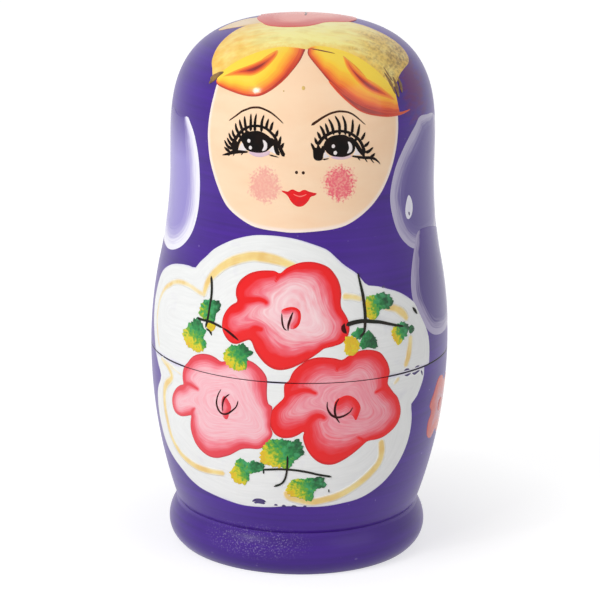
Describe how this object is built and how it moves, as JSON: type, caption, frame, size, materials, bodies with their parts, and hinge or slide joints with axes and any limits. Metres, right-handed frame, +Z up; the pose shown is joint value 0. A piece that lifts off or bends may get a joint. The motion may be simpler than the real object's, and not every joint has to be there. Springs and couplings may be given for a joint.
{
  "type": "nesting doll",
  "caption": "Painted wooden nesting doll with a flared foot, whose top half lifts off a turned collar to show smaller dolls of the same outline standing inside each other.",
  "frame": {"origin": "the middle of the outer doll's flat underside, on the table", "axes": "+Z up along the dolls' common axis, -Y towards whoever the painted face looks at, +X to the viewer's right"},
  "size_m": [0.0616, 0.0616, 0.11],
  "materials": {
    "painted_limewood": "violet gloss paint, varnished, over turned limewood",
    "bare_limewood": "bare turned limewood, with tool rings",
    "brush_paint": "hand-brushed poster paint under varnish"
  },
  "bodies": {
    "doll_1_bottom": {"doll_1_bottom": "painted_limewood"},
    "doll_2_bottom": {"doll_2_bottom": "painted_limewood"},
    "doll_3_bottom": {"doll_3_bottom": "painted_limewood"},
    "doll_4_bottom": {"doll_4_bottom": "painted_limewood"},
    "doll_5_solid": {"doll_5_solid": "painted_limewood"},
    "doll_4_top": {"doll_4_top": "painted_limewood"},
    "doll_3_top": {"doll_3_top": "painted_limewood"},
    "doll_2_top": {"doll_2_top": "painted_limewood"},
    "doll_1_top": {"doll_1_top": "painted_limewood"}
  },
  "joints": [
    {"name": "doll_2_bottom_lift", "type": "slide", "parent": "doll_1_bottom", "child": "doll_2_bottom", "axis": [0, 0, 1], "range_m": [0, 0.049]},
    {"name": "doll_3_bottom_lift", "type": "slide", "parent": "doll_2_bottom", "child": "doll_3_bottom", "axis": [0, 0, 1], "range_m": [0, 0.038]},
    {"name": "doll_4_bottom_lift", "type": "slide", "parent": "doll_3_bottom", "child": "doll_4_bottom", "axis": [0, 0, 1], "range_m": [0, 0.029]},
    {"name": "doll_5_solid_lift", "type": "slide", "parent": "doll_4_bottom", "child": "doll_5_solid", "axis": [0, 0, 1], "range_m": [0, 0.022]},
    {"name": "doll_4_top_lift", "type": "slide", "parent": "doll_5_solid", "child": "doll_4_top", "axis": [0, 0, 1], "range_m": [0, 0.027]},
    {"name": "doll_3_top_lift", "type": "slide", "parent": "doll_4_top", "child": "doll_3_top", "axis": [0, 0, 1], "range_m": [0, 0.035]},
    {"name": "doll_2_top_lift", "type": "slide", "parent": "doll_3_top", "child": "doll_2_top", "axis": [0, 0, 1], "range_m": [0, 0.045]},
    {"name": "doll_1_top_lift", "type": "slide", "parent": "doll_2_top", "child": "doll_1_top", "axis": [0, 0, 1], "range_m": [0, 0.058]}
  ]
}
